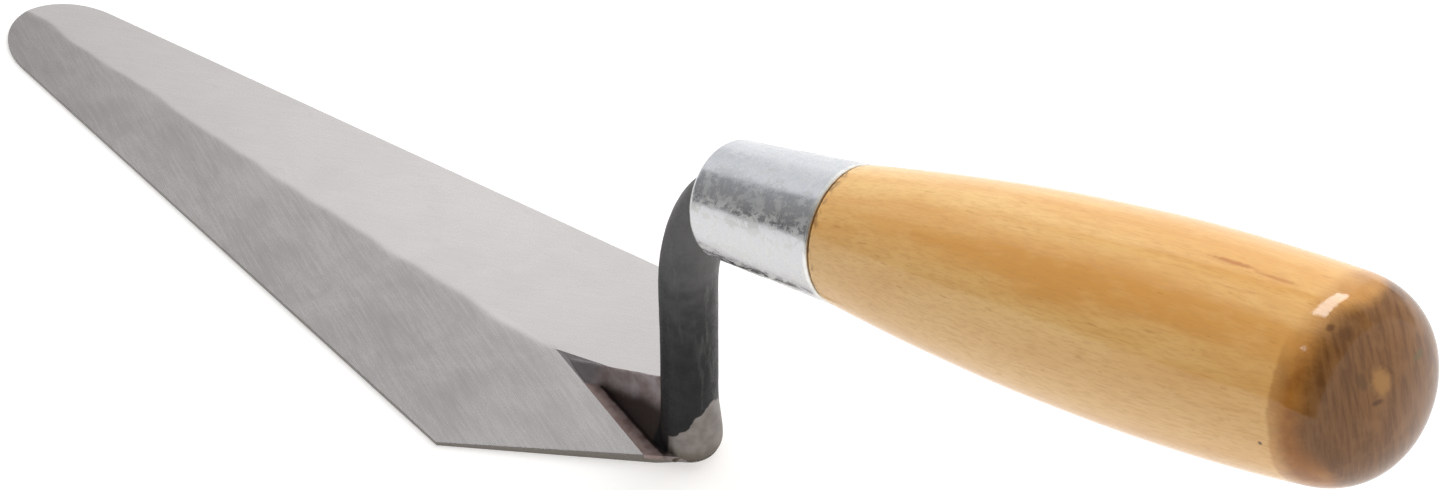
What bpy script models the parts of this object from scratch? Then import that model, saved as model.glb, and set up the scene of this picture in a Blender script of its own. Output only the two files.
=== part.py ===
"""Brick trowel: a ground steel blade, a round bar shank welded into the blade's heel, and a turned wooden
handle, bound by a drawn steel ferrule, which is driven on to the shank's square tang.

Frame: the origin is on the blade's flat underside, on the shank's axis. +X runs to the blade's tip,
+Y to the left of someone holding the handle, and +Z up. Lengths are in metres.
"""

from math import acos, atan2, cos, hypot, pi, radians, sin, tan

import bmesh
import bpy
from mathutils import Matrix, Vector

MM = 0.001
GAP = 0.3 * MM  # clearance between pieces that touch
MERGE = 0.01 * MM
SHARP = radians(35)  # edges blunter than this are shaded smooth
ROUND_SIDES = 40

# Blade
TIP_X = 200.5 * MM  # from the shank's axis to the tip
CORNER_X = 35.3 * MM  # the two heel corners
CORNER_Y = 31.6 * MM
HEEL_RADIUS = 5.7 * MM  # the heel runs round the foot of the shank
NOSE_LENGTH = 18.5 * MM
NOSE_HALF_WIDTH = 12.7 * MM
NOSE_START = radians(79.5)  # where the straight sides run into the round nose
RIDGE_AT_HEEL = 2.2 * MM  # thickness along the middle, level with the corners
RIDGE_AT_TIP = 1.2 * MM
CORNER_THICKNESS = 0.9 * MM
SEAT_FLOOR = 1.0 * MM  # what is left of the blade under the shank's foot
SEAT_APEX_X = 34.7 * MM  # the V in the heel that takes the foot, its rib and the welds
SEAT_SLOPE = 0.297  # half width of the V for each length back from its apex

# Shank, from the blade up
SHANK_RADIUS = 5.3 * MM
FOOT_RADIUS = 5.7 * MM
FOOT_STRAIGHT = 4.0 * MM  # height at which the foot's flare begins to run out
FOOT_TOP = 9.0 * MM  # height at which it has run out
BEND_BELOW = 22.0 * MM  # the bend begins this far below the knee, where bar and handle axis cross
BEND_BEYOND = 9.7 * MM  # and ends this far along the axis
BEND_PULL = 0.5  # how strongly the knee draws the bend outwards
BEND_STEPS = 14
FOOT_BOTTOM = SEAT_FLOOR + GAP
# The rib in front of the shank: x, half width at the bottom, half width of the crest, height of the crest
RIB_STATIONS = (
    (33.0 * MM, 0.2 * MM, 0.15 * MM, 2.4 * MM),
    (22.0 * MM, 1.3 * MM, 0.5 * MM, 6.6 * MM),
    (9.0 * MM, 4.2 * MM, 1.2 * MM, 11.7 * MM),
    (0.0, 5.2 * MM, 2.0 * MM, 15.2 * MM),
)

# Welds, one along each side of the rib
WELD_EDGE = 2.1 * MM  # height of the bead at the edge of the V
WELD_RISE = radians(24)
WELD_HIGHEST = 8.0 * MM

# The handle's axis starts in the middle of the ferrule's front face
AXIS_X = -9.4 * MM
AXIS_Z = 66.0 * MM
HANDLE_RISE = radians(15.5)  # how much the handle rises towards its butt

# Tang, a tapering square spike
TANG_HALF = 2.5 * MM
TANG_END_HALF = 1.5 * MM
TANG_LENGTH = 74.0 * MM
TANG_CLEARANCE = 0.15 * MM  # between the tang and the handle's bore

# Ferrule
FERRULE_LENGTH = 27.3 * MM
FERRULE_FRONT_RADIUS = 10.1 * MM
FERRULE_REAR_RADIUS = 11.6 * MM
FERRULE_WALL = 0.9 * MM
FERRULE_EDGE = 1.1 * MM  # rounding of the drawn front edge

# Wooden handle
BODY_LENGTH = 85.6 * MM  # from the ferrule to where the rounding of the butt begins
BODY_END_RADIUS = 15.35 * MM
NECK_SLOPE = 0.138  # growth of the radius per length, right behind the ferrule
BUTT_SLOPE = -0.078  # the same, where the rounding begins
DOME_LENGTH = 12.7 * MM
DOME_POWER = 2.35  # 2 is an ellipse, and more makes the butt flatter with a tighter shoulder

# Colour, roughness and metallic value of each finish
GROUND_STEEL = ((0.52, 0.51, 0.52), 0.35, 1.0)
BLACK_SCALE = ((0.07, 0.07, 0.07), 0.55, 0.6)
WELD_TINT = ((0.20, 0.14, 0.12), 0.5, 0.8)
ZINC_PLATE = ((0.72, 0.74, 0.76), 0.3, 1.0)
VARNISHED_WOOD = ((0.62, 0.36, 0.13), 0.3, 0.0)


# ------------------------------------------------------------------ scene and materials


def clear_scene():
    for old in list(bpy.data.objects):
        bpy.data.objects.remove(old, do_unlink=True)


def new_collection(name):
    made = bpy.data.collections.new(name)
    bpy.context.scene.collection.children.link(made)


def finish_material(name, finish):
    colour, roughness, metallic = finish
    made = bpy.data.materials.new(name)
    made.use_nodes = True
    shader = made.node_tree.nodes["Principled BSDF"]
    shader.inputs["Base Color"].default_value = (*colour, 1.0)
    shader.inputs["Roughness"].default_value = roughness
    shader.inputs["Metallic"].default_value = metallic
    return made


def add_part(name, mesh, finish):
    mesh.materials.clear()
    mesh.materials.append(finish_material(name, finish))
    made = bpy.data.objects.new(name, mesh)
    bpy.data.collections["brick_trowel"].objects.link(made)
    return made


def add_cutter(name, mesh):
    """A helper for a Boolean, whether it cuts or joins."""
    made = bpy.data.objects.new(name, mesh)
    made.hide_render = True
    made.display_type = "WIRE"
    bpy.data.collections["cutters"].objects.link(made)
    return made


# ------------------------------------------------------------------ shapes


def mesh_from_bmesh(name, work):
    mesh = bpy.data.meshes.new(name)
    work.to_mesh(mesh)
    work.free()
    return mesh


def mesh_from_curve(name, curve):
    """The closed mesh of a curve with filled caps."""
    holder = bpy.data.objects.new(name, curve)
    bpy.context.scene.collection.objects.link(holder)
    bpy.context.view_layer.update()
    evaluated = holder.evaluated_get(bpy.context.evaluated_depsgraph_get())
    work = bmesh.new()
    work.from_mesh(bpy.data.meshes.new_from_object(evaluated))
    bmesh.ops.remove_doubles(work, verts=work.verts, dist=MERGE)
    bmesh.ops.recalc_face_normals(work, faces=work.faces)
    bpy.data.objects.remove(holder)
    bpy.data.curves.remove(curve)
    return mesh_from_bmesh(name, work)


def poly_curve(name, dimensions, points):
    """A curve of one straight-segment spline. Each point is (x, y, z, radius)."""
    curve = bpy.data.curves.new(name, "CURVE")
    curve.dimensions = dimensions
    spline = curve.splines.new("POLY")
    spline.points.add(len(points) - 1)
    for point, (x, y, z, radius) in zip(spline.points, points):
        point.co = (x, y, z, 1.0)
        point.radius = radius
    return curve


def plate(name, outline, bottom, top):
    """A flat plate of that outline, between two heights."""
    curve = poly_curve(name, "2D", [(x, y, 0.0, 1.0) for x, y in outline])
    curve.splines[0].use_cyclic_u = True
    curve.fill_mode = "BOTH"
    curve.extrude = (top - bottom) / 2
    mesh = mesh_from_curve(name, curve)
    mesh.transform(Matrix.Translation((0.0, 0.0, (top + bottom) / 2)))
    return mesh


def slice_off(mesh, point, normal):
    """Takes off what is on the normal's side of a plane, and closes the cut."""
    work = bmesh.new()
    work.from_mesh(mesh)
    everything = work.verts[:] + work.edges[:] + work.faces[:]
    cut = bmesh.ops.bisect_plane(
        work, geom=everything, plane_co=point, plane_no=normal, clear_outer=True, dist=MERGE / 10
    )
    rim = [piece for piece in cut["geom_cut"] if isinstance(piece, bmesh.types.BMEdge)]
    bmesh.ops.contextual_create(work, geom=rim)
    bmesh.ops.recalc_face_normals(work, faces=work.faces)
    work.to_mesh(mesh)
    work.free()


def combine(target, other, operation):
    modifier = target.modifiers.new(other.name, "BOOLEAN")
    modifier.operation = operation
    modifier.object = other
    modifier.solver = "EXACT"


def turned(name, profile, closed, finish):
    """A piece turned round its own Z axis from (radius, height) points, which run down its outside."""
    count = len(profile)
    edges = [(i, (i + 1) % count) for i in range(count if closed else count - 1)]
    mesh = bpy.data.meshes.new(name)
    mesh.from_pydata([(radius, 0.0, height) for radius, height in profile], edges, [])
    made = add_part(name, mesh, finish)
    screw = made.modifiers.new("turn", "SCREW")
    screw.axis = "Z"
    screw.steps = ROUND_SIDES
    screw.render_steps = ROUND_SIDES
    screw.use_merge_vertices = True
    screw.merge_threshold = MERGE
    screw.use_smooth_shade = True
    return made


def arc(centre, radii, start, end, steps):
    """Points (x, y) on part of an ellipse."""
    turns = [start + (end - start) * i / steps for i in range(steps + 1)]
    return [(centre[0] + radii[0] * cos(a), centre[1] + radii[1] * sin(a)) for a in turns]


def square_spike(name, margin):
    """The tang along local Z, from just inside the shank's end, grown by a margin."""
    start = -FERRULE_WALL
    end = FERRULE_WALL + TANG_LENGTH + margin
    work = bmesh.new()
    bmesh.ops.create_cone(
        work,
        cap_ends=True,
        segments=4,
        radius1=(TANG_HALF + margin) / cos(pi / 4),
        radius2=(TANG_END_HALF + margin) / cos(pi / 4),
        depth=end - start,
        matrix=Matrix.Translation((0.0, 0.0, (start + end) / 2)) @ Matrix.Rotation(pi / 4, 4, "Z"),
    )
    return mesh_from_bmesh(name, work)


# ------------------------------------------------------------------ blade


def heel_edge_bearing():
    """The direction from the shank's axis, square to the left heel edge, which is tangent to the heel."""
    return atan2(CORNER_Y, CORNER_X) + acos(HEEL_RADIUS / hypot(CORNER_X, CORNER_Y))


def blade_outline():
    """Heel corners, straight tapering sides, round nose, and straight heel edges to a round heel."""
    bearing = heel_edge_bearing()
    nose_centre = (TIP_X - NOSE_LENGTH, 0.0)
    nose = arc(nose_centre, (NOSE_LENGTH, NOSE_HALF_WIDTH), NOSE_START, -NOSE_START, 24)
    heel = arc((0.0, 0.0), (HEEL_RADIUS, HEEL_RADIUS), 2 * pi - bearing, bearing, 14)
    return [(CORNER_X, CORNER_Y), *nose, (CORNER_X, -CORNER_Y), *heel]


def seat_outline(margin):
    """The V in the blade's heel, grown by a margin, and open at the back."""
    back = -2 * HEEL_RADIUS
    apex = SEAT_APEX_X + margin * hypot(1.0, SEAT_SLOPE) / SEAT_SLOPE
    half = SEAT_SLOPE * (apex - back)
    return [(apex, 0.0), (back, half), (back, -half)]


def build_blade():
    mesh = plate("blade", blade_outline(), 0.0, 2 * RIDGE_AT_HEEL)
    fall = (RIDGE_AT_HEEL - RIDGE_AT_TIP) / (TIP_X - CORNER_X)
    slope = (RIDGE_AT_HEEL - CORNER_THICKNESS) / CORNER_Y
    for side in (1, -1):
        slice_off(mesh, (CORNER_X, 0.0, RIDGE_AT_HEEL), Vector((fall, side * slope, 1.0)).normalized())
    blade = add_part("blade", mesh, GROUND_STEEL)
    seat = plate("blade_seat", seat_outline(0.0), SEAT_FLOOR, 3 * RIDGE_AT_HEEL)
    combine(blade, add_cutter("blade_seat", seat), "DIFFERENCE")


# ------------------------------------------------------------------ shank and welds


def handle_frame():
    """Local +Z runs from the ferrule's front face along the handle to its butt."""
    turn = Matrix.Rotation(HANDLE_RISE - pi / 2, 4, "Y")
    return Matrix.Translation((AXIS_X, 0.0, AXIS_Z)) @ turn


def shank_points():
    """The bar's middle line and radius: up from the foot, round the bend and through the ferrule's front."""
    knee = Vector((0.0, 0.0, AXIS_Z + AXIS_X * tan(HANDLE_RISE)))
    start = knee - Vector((0.0, 0.0, BEND_BELOW))
    stop = knee + BEND_BEYOND * Vector((-cos(HANDLE_RISE), 0.0, sin(HANDLE_RISE)))
    points = [
        (0.0, 0.0, FOOT_BOTTOM, FOOT_RADIUS),
        (0.0, 0.0, FOOT_STRAIGHT, FOOT_RADIUS),
        (0.0, 0.0, FOOT_TOP, SHANK_RADIUS),
    ]
    for step in range(BEND_STEPS + 1):
        t = step / BEND_STEPS
        shares = ((1 - t) ** 2, 2 * BEND_PULL * t * (1 - t), t**2)
        spot = (shares[0] * start + shares[1] * knee + shares[2] * stop) / sum(shares)
        points.append((*spot, SHANK_RADIUS))
    end = handle_frame() @ Vector((0.0, 0.0, FERRULE_WALL))
    points.append((*end, SHANK_RADIUS))
    return points


def rib_mesh(name, margin):
    """The rib that ramps from the blade's ridge up to the shank, lofted through its stations."""
    work = bmesh.new()
    rings = []
    for x, base, crest, top in RIB_STATIONS:
        reach = x + margin if x else x
        low, high = FOOT_BOTTOM - 2 * margin, top + margin
        half, crest_half = base + margin, crest + margin
        section = ((-half, low), (half, low), (crest_half, high), (-crest_half, high))
        rings.append([work.verts.new((reach, y, z)) for y, z in section])
    for front, back in zip(rings, rings[1:]):
        for i in range(4):
            work.faces.new((front[i], front[(i + 1) % 4], back[(i + 1) % 4], back[i]))
    work.faces.new(rings[0])
    work.faces.new(rings[-1])
    bmesh.ops.recalc_face_normals(work, faces=work.faces)
    return mesh_from_bmesh(name, work)


def build_shank():
    curve = poly_curve("shank", "3D", shank_points())
    curve.bevel_depth = 1.0
    curve.bevel_resolution = 10
    curve.use_fill_caps = True
    mesh = mesh_from_curve("shank", curve)
    mesh.shade_smooth()
    mesh.set_sharp_from_angle(angle=SHARP)
    shank = add_part("shank", mesh, BLACK_SCALE)
    combine(shank, add_cutter("shank_rib", rib_mesh("shank_rib", 0.0)), "UNION")
    tang = add_cutter("shank_tang", square_spike("shank_tang", 0.0))
    tang.matrix_world = handle_frame()
    combine(shank, tang, "UNION")


def foot_cutter():
    """The foot with the clearance that the welds keep to it."""
    work = bmesh.new()
    bmesh.ops.create_cone(
        work,
        cap_ends=True,
        segments=ROUND_SIDES,
        radius1=FOOT_RADIUS + GAP,
        radius2=FOOT_RADIUS + GAP,
        depth=4 * WELD_HIGHEST,
    )
    return add_cutter("weld_foot", mesh_from_bmesh("weld_foot", work))


def build_welds():
    """A bead in the V on each side of the rib. It slopes up to the rib, and ends at the heel's edge."""
    foot = foot_cutter()
    rib = add_cutter("weld_rib", rib_mesh("weld_rib", GAP))
    bearing = heel_edge_bearing()
    for name, side in (("weld_left", 1), ("weld_right", -1)):
        mesh = plate(name, seat_outline(-GAP), FOOT_BOTTOM, WELD_HIGHEST)
        across = Vector((SEAT_SLOPE, side, 0.0)).normalized() * sin(WELD_RISE)
        slice_off(mesh, (SEAT_APEX_X, 0.0, WELD_EDGE), across + Vector((0.0, 0.0, cos(WELD_RISE))))
        slice_off(mesh, (0.0, side * GAP / 4, 0.0), (0.0, -side, 0.0))
        slice_off(mesh, (0.0, 0.0, 0.0), (-1.0, 0.0, 0.0))
        slice_off(mesh, (RIB_STATIONS[0][0], 0.0, 0.0), (1.0, 0.0, 0.0))
        heel = Vector((cos(bearing), side * sin(bearing), 0.0))
        slice_off(mesh, heel * HEEL_RADIUS, heel)
        weld = add_part(name, mesh, WELD_TINT)
        combine(weld, rib, "DIFFERENCE")
        combine(weld, foot, "DIFFERENCE")


# ------------------------------------------------------------------ ferrule and handle


def ferrule_radius(height):
    """Outer radius of the slightly tapered ferrule, at a height along the handle's axis."""
    share = height / FERRULE_LENGTH
    return FERRULE_FRONT_RADIUS + (FERRULE_REAR_RADIUS - FERRULE_FRONT_RADIUS) * share


def ferrule_profile():
    """A drawn cup: tapered wall, rounded front edge, and a front wall with a hole for the shank."""
    hole = SHANK_RADIUS + GAP
    edge_centre = (ferrule_radius(FERRULE_EDGE) - FERRULE_EDGE, FERRULE_EDGE)
    edge = arc(edge_centre, (FERRULE_EDGE, FERRULE_EDGE), 0.0, -pi / 2, 5)
    return [
        (ferrule_radius(FERRULE_LENGTH), FERRULE_LENGTH),
        *edge,
        (hole, 0.0),
        (hole, FERRULE_WALL),
        (ferrule_radius(FERRULE_WALL) - FERRULE_WALL, FERRULE_WALL),
        (ferrule_radius(FERRULE_LENGTH) - FERRULE_WALL, FERRULE_LENGTH),
    ]


def body_radius(share):
    """Radius along the handle's belly: the cubic with the set radius and slope at each end."""
    rise = BODY_END_RADIUS - FERRULE_REAR_RADIUS
    start_slope = NECK_SLOPE * BODY_LENGTH
    end_slope = BUTT_SLOPE * BODY_LENGTH
    square = 3 * rise - 2 * start_slope - end_slope
    cube = start_slope + end_slope - 2 * rise
    return FERRULE_REAR_RADIUS + start_slope * share + square * share**2 + cube * share**3


def dome_point(share, start):
    """A point of the butt's rounding, a superellipse that starts along the belly's slope."""
    angle = share * pi / 2
    along = sin(angle) ** (2 / DOME_POWER)
    radius = BODY_END_RADIUS + BUTT_SLOPE * DOME_LENGTH * along
    return (radius * cos(angle) ** (2 / DOME_POWER), start + DOME_LENGTH * along)


def handle_profile():
    """From the middle of the butt, down the dome, the belly and the tenon, to the tenon's front face."""
    body_start = FERRULE_LENGTH + GAP
    body_end = body_start + BODY_LENGTH
    dome_steps, body_steps = 14, 16
    dome = [dome_point(i / dome_steps, body_end) for i in range(dome_steps - 1, 0, -1)]
    body = [
        (body_radius(i / body_steps), body_start + BODY_LENGTH * i / body_steps)
        for i in range(body_steps, -1, -1)
    ]
    tenon_inset = FERRULE_WALL + GAP
    tenon = [
        (ferrule_radius(body_start) - tenon_inset, body_start),
        (ferrule_radius(tenon_inset) - tenon_inset, tenon_inset),
        (0.0, tenon_inset),
    ]
    return [(0.0, body_end + DOME_LENGTH), *dome, *body, *tenon]


def build_handle():
    axis = bpy.data.objects.new("handle_axis", None)
    bpy.data.collections["brick_trowel"].objects.link(axis)
    axis.matrix_world = handle_frame()
    ferrule = turned("ferrule", ferrule_profile(), True, ZINC_PLATE)
    handle = turned("handle", handle_profile(), False, VARNISHED_WOOD)
    bore = add_cutter("handle_bore", square_spike("handle_bore", TANG_CLEARANCE))
    combine(handle, bore, "DIFFERENCE")
    for piece in (ferrule, handle, bore):
        piece.parent = axis


def main():
    clear_scene()
    new_collection("brick_trowel")
    new_collection("cutters")
    build_blade()
    build_shank()
    build_welds()
    build_handle()


main()
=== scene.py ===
"""The looks of the brick trowel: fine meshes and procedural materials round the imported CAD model.

Every size is in metres, in the CAD's frame: the origin is on the blade's underside under the shank,
+X runs to the tip, +Y to the left and +Z up.
"""

from math import acos, atan2, cos, hypot, pi, radians, sin, tan

import bmesh
import bpy
import numpy as np
from mathutils import Matrix, Vector, noise


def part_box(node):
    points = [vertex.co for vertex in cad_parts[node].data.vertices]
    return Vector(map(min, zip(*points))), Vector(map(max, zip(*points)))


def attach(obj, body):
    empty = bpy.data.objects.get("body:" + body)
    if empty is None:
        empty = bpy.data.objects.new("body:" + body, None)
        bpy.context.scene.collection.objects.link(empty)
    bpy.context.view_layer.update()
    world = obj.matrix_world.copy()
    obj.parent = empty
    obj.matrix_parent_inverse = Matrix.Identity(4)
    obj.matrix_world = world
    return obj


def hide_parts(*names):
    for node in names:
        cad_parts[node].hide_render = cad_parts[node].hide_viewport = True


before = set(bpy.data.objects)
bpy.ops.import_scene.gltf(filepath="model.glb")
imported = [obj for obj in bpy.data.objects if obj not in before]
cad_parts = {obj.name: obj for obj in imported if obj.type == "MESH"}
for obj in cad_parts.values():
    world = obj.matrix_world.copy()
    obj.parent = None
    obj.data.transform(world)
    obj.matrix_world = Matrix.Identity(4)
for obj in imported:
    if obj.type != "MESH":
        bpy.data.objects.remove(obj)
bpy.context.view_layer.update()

MM = 0.001

# Mesh fineness
TURNED_SIDES = 160
BAR_SIDES = 72
VOXEL = 0.35 * MM  # the shank's skin
SHARP = radians(32)  # edges blunter than this are shaded smooth
BLADE_SHARP = radians(25)
NOISE_STEPS = (7.3, 3.1, 5.7)  # how far apart the noise of two seeds lies

# Blade, from its CAD box and the places of its corners
BLADE_LOW, BLADE_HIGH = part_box("blade")
TIP_X = BLADE_HIGH.x
CORNER_X = 35.3 * MM
CORNER_Y = BLADE_HIGH.y
HEEL_RADIUS = -BLADE_LOW.x
NOSE_LENGTH = 18.5 * MM
NOSE_HALF_WIDTH = 12.7 * MM
NOSE_START = radians(79.5)
RIDGE_AT_HEEL = BLADE_HIGH.z
RIDGE_AT_TIP = 1.2 * MM
CORNER_THICKNESS = 0.9 * MM
SEAT_FLOOR = 1.0 * MM
SEAT_APEX_X = 34.7 * MM
SEAT_SLOPE = 0.297
RIDGE_ROUNDING = 0.25 * MM
RIDGE_DRIFT = 1.85 * MM  # how far the ridge strays to the left of the middle
RIDGE_DRIFT_AT_TIP = 0.7 * MM  # and how far to the right at the tip
RIDGE_WAVE = 1.1 * MM  # unevenness on top of that, from one place to the other
RIDGE_WAVE_LENGTH = 9 * MM
RIDGE_WAVE_FROM = 36 * MM
RIDGE_WAVE_FULL = 50 * MM
EDGE_ROUND = 0.15 * MM  # how far the bottom edge is rounded off in and up
HEEL_ROUND_IN = 0.85 * MM  # and how much more at the back of the heel
HEEL_ROUND_UP = 1.85 * MM
HEEL_FRONT_X = 2 * MM  # the back of the heel begins here, and is fully rounded there
HEEL_BACK_X = -3 * MM
ROUND_STEPS = 6
RIM = 0.06 * MM  # bevel of the top edge
TOP_STEPS = 72  # faces across the top
SWELL = 0.035 * MM  # height of the slow waves in the facets
SWELL_FROM = 0.6 * MM  # they begin this high over the underside
SWELL_FADE = 0.3 * MM  # and are full this much higher
SWELL_LENGTH = 22 * MM
SWELL_WIDTH = 12 * MM

# Handle's axis, and what turns round it
AXIS_PLACE = Vector((-9.4 * MM, 0.0, 66.0 * MM))
HANDLE_RISE = radians(15.5)
FERRULE_LENGTH = 27.3 * MM
FERRULE_FRONT = 10.1 * MM
FERRULE_REAR = 11.6 * MM
WALL = 0.9 * MM
SHANK_RADIUS = 5.3 * MM
BEND_BELOW = 22.0 * MM
BEND_BEYOND = 9.7 * MM
BEND_PULL = 0.5
GAP = 0.3 * MM
TANG_END = 75.0 * MM  # how far the tang reaches along the axis


# ------------------------------------------------------------------ meshes


def mesh_object(name, points, faces, smooth=True):
    """A new object with normals pointing out, shaded smooth except at its sharp edges."""
    mesh = bpy.data.meshes.new(name)
    mesh.from_pydata([tuple(p) for p in points], [], faces)
    mesh.validate()
    work = bmesh.new()
    work.from_mesh(mesh)
    bmesh.ops.recalc_face_normals(work, faces=work.faces)
    work.to_mesh(mesh)
    work.free()
    made = bpy.data.objects.new(name, mesh)
    bpy.context.scene.collection.objects.link(made)
    if smooth:
        shade(made, SHARP)
    return made


def shade(target, sharp):
    """Smooth shading with sharp edges where the faces meet at more than that angle."""
    target.data.shade_smooth()
    target.data.set_sharp_from_angle(angle=sharp)


def apply_modifiers(target):
    """Turns the object's modifiers into its mesh."""
    bpy.context.view_layer.update()
    evaluated = target.evaluated_get(bpy.context.evaluated_depsgraph_get())
    mesh = bpy.data.meshes.new_from_object(evaluated)
    target.modifiers.clear()
    target.data = mesh


def boolean(target, other, operation):
    modifier = target.modifiers.new(other.name, "BOOLEAN")
    modifier.operation = operation
    modifier.object = other
    modifier.solver = "EXACT"
    apply_modifiers(target)
    bpy.data.objects.remove(other, do_unlink=True)


def rumple(target, height, size, seed, stretch=(1.0, 1.0, 1.0), sink=0.0):
    """Moves each point along its normal by smooth noise, lowered by the sink, as a hand-worked surface."""
    mesh = target.data
    shift = Vector([seed * step for step in NOISE_STEPS])
    along = Vector([1.0 / value for value in stretch])
    normals = [item.vector.copy() for item in mesh.vertex_normals]
    moved = [
        vertex.co + normal * height * (noise.noise(vertex.co * along / size + shift) - sink)
        for vertex, normal in zip(mesh.vertices, normals)
    ]
    mesh.vertices.foreach_set("co", np.array(moved, dtype=np.float32).ravel())
    mesh.update()


def smoothstep(low, high, value):
    """Smooth step from 0 at low to 1 at high."""
    t = np.clip((value - low) / (high - low), 0.0, 1.0)
    return t * t * (3 - 2 * t)


def spread(start, end, count, endpoint=True):
    """Evenly spaced plain numbers from start to end."""
    return [float(value) for value in np.linspace(start, end, count, endpoint=endpoint)]


def strip(first, second, closed=False):
    """Faces between two rows of point indexes. A row of one point makes a fan."""
    count = max(len(first), len(second))
    pairs = [(j, (j + 1) % count) for j in range(count if closed else count - 1)]
    if len(first) == 1:
        return [(first[0], second[j], second[k]) for j, k in pairs]
    if len(second) == 1:
        return [(first[j], first[k], second[0]) for j, k in pairs]
    return [(first[j], first[k], second[k], second[j]) for j, k in pairs]


def strips(rows, closed=False):
    """Faces between each row and the next."""
    return [face for first, second in zip(rows, rows[1:]) for face in strip(first, second, closed)]


def sweep(rings):
    """Points and faces of a tube with closed ends through rings of equal length."""
    count = len(rings[0])
    points = [p for ring in rings for p in ring]
    rows = [tuple(range(start, start + count)) for start in range(0, len(points), count)]
    return points, [*strips(rows, closed=True), rows[0], rows[-1]]


def axis_frame():
    """The handle's own frame: +Z runs from the ferrule's front face to the butt, and +X points up."""
    return Matrix.Translation(AXIS_PLACE) @ Matrix.Rotation(HANDLE_RISE - pi / 2, 4, "Y")


def turned(name, profile, closed=False):
    """A piece turned round the handle's axis from (radius, height) points."""
    angles = spread(0.0, 2 * pi, TURNED_SIDES, endpoint=False)
    points, rows = [], []
    for radius, height in profile:
        start = len(points)
        points += [(radius * cos(a), radius * sin(a), height) for a in (angles if radius else angles[:1])]
        rows.append(range(start, len(points)))
    if closed:
        rows.append(rows[0])
    return mesh_object(name, [axis_frame() @ Vector(p) for p in points], strips(rows, closed=True))


# ------------------------------------------------------------------ blade


def heel_edge_bearing():
    """Bearing of the place where the straight edge from the corner meets the heel's round back."""
    return atan2(CORNER_Y, CORNER_X) + acos(HEEL_RADIUS / hypot(CORNER_X, CORNER_Y))


def outline_half():
    """Points (x, y) of the blade's left edge from the middle of the heel to the tip."""
    bearing = heel_edge_bearing()
    heel = [(HEEL_RADIUS * cos(a), HEEL_RADIUS * sin(a)) for a in spread(pi, bearing, 16)]
    nose_centre = TIP_X - NOSE_LENGTH
    nose = [
        (nose_centre + NOSE_LENGTH * cos(a), NOSE_HALF_WIDTH * sin(a))
        for a in spread(NOSE_START, 0.0, 40)
    ]
    corner = Vector((CORNER_X, CORNER_Y))
    edge = [tuple(Vector(heel[-1]).lerp(corner, t)) for t in spread(0, 1, 60)[1:]]
    side = [tuple(corner.lerp(Vector(nose[0]), t)) for t in spread(0, 1, 150)[1:]]
    return np.array(heel + edge + side + nose[1:])


def outward(points):
    """Unit normals of that edge, pointing out of the blade."""
    along = np.gradient(points, axis=0)
    along /= np.linalg.norm(along, axis=1)[:, None]
    normals = np.stack([-along[:, 1], along[:, 0]], axis=1)
    normals[0] = (-1.0, 0.0)
    normals[-1] = (1.0, 0.0)
    return normals


def ridge_line(x):
    """How far the hand-ground ridge strays to the left, most about a quarter of the way to the tip."""
    share = np.clip((x - CORNER_X) / (TIP_X - CORNER_X), 0.0, 1.0)
    drift = RIDGE_DRIFT * np.sin(pi * share**0.55) - RIDGE_DRIFT_AT_TIP * share
    wave = [noise.noise(Vector((value / RIDGE_WAVE_LENGTH, 0.3, 0.7))) for value in np.atleast_1d(x)]
    return drift + RIDGE_WAVE * np.array(wave) * smoothstep(RIDGE_WAVE_FROM, RIDGE_WAVE_FULL, x)


def top_height(x, y):
    """Height of the blade's two ground facets over the flat underside."""
    ridge = RIDGE_AT_HEEL - (RIDGE_AT_HEEL - RIDGE_AT_TIP) * (x - CORNER_X) / (TIP_X - CORNER_X)
    slope = (RIDGE_AT_HEEL - CORNER_THICKNESS) / CORNER_Y
    aside = y - ridge_line(x)
    height = ridge - slope * (np.sqrt(aside**2 + RIDGE_ROUNDING**2) - 0.2 * RIDGE_ROUNDING)
    return np.minimum(height, RIDGE_AT_HEEL)


def edge_levels(half):
    """The inset, and the left and right heights, of each loop round the blade's edge from the bottom up."""
    heel_back = smoothstep(HEEL_FRONT_X, HEEL_BACK_X, half[:, 0])
    round_in = EDGE_ROUND + HEEL_ROUND_IN * heel_back
    round_up = EDGE_ROUND + HEEL_ROUND_UP * heel_back
    tops = [top_height(half[:, 0], side * half[:, 1]) for side in (1, -1)]
    levels = []
    for angle in spread(0.0, pi / 2, ROUND_STEPS + 1):
        rounded = round_up * (1 - cos(angle))
        levels.append((round_in * (1 - sin(angle)), [np.minimum(rounded, top * 0.8) for top in tops]))
    levels.append((np.zeros(len(half)), [top - RIM for top in tops]))
    levels.append((np.full(len(half), RIM), tops))
    return levels


def edge_loops():
    """Points of the blade's edge, and the rows of indexes along its left and right half, bottom up."""
    half = outline_half()
    normals = outward(half)
    points, left, right = [], [], []
    for inset, (left_heights, right_heights) in edge_levels(half):
        place = half - normals * inset[:, None]
        start = len(points)
        points += [(x, max(y, 0.0), z) for (x, y), z in zip(place, left_heights)]
        left.append(list(range(start, len(points))))
        start = len(points)
        points += [(x, -y, z) for (x, y), z in zip(place[1:-1], right_heights[1:-1])]
        right.append([left[-1][0], *range(start, len(points)), left[-1][-1]])
    return points, left, right


def top_rows(points, left, right):
    """Rows of indexes across the top from the left edge to the right edge, with their points added."""
    rows = [[left[0]]]
    for first, last in zip(left[1:-1], right[1:-1]):
        x, y, _ = points[first]
        aside = np.array(spread(1.0, -1.0, TOP_STEPS + 1)[1:-1]) * y
        start = len(points)
        points += [(x, *place) for place in zip(aside, top_height(x, aside))]
        rows.append([first, *range(start, len(points)), last])
    rows.append([left[-1]])
    return rows


def underside(left, right):
    """Flat faces between the two halves of the lowest loop."""
    ends = [(left[0], left[1], right[1]), (left[-2], left[-1], right[-2])]
    return ends + strip(left[1:-1], right[1:-1])


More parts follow.
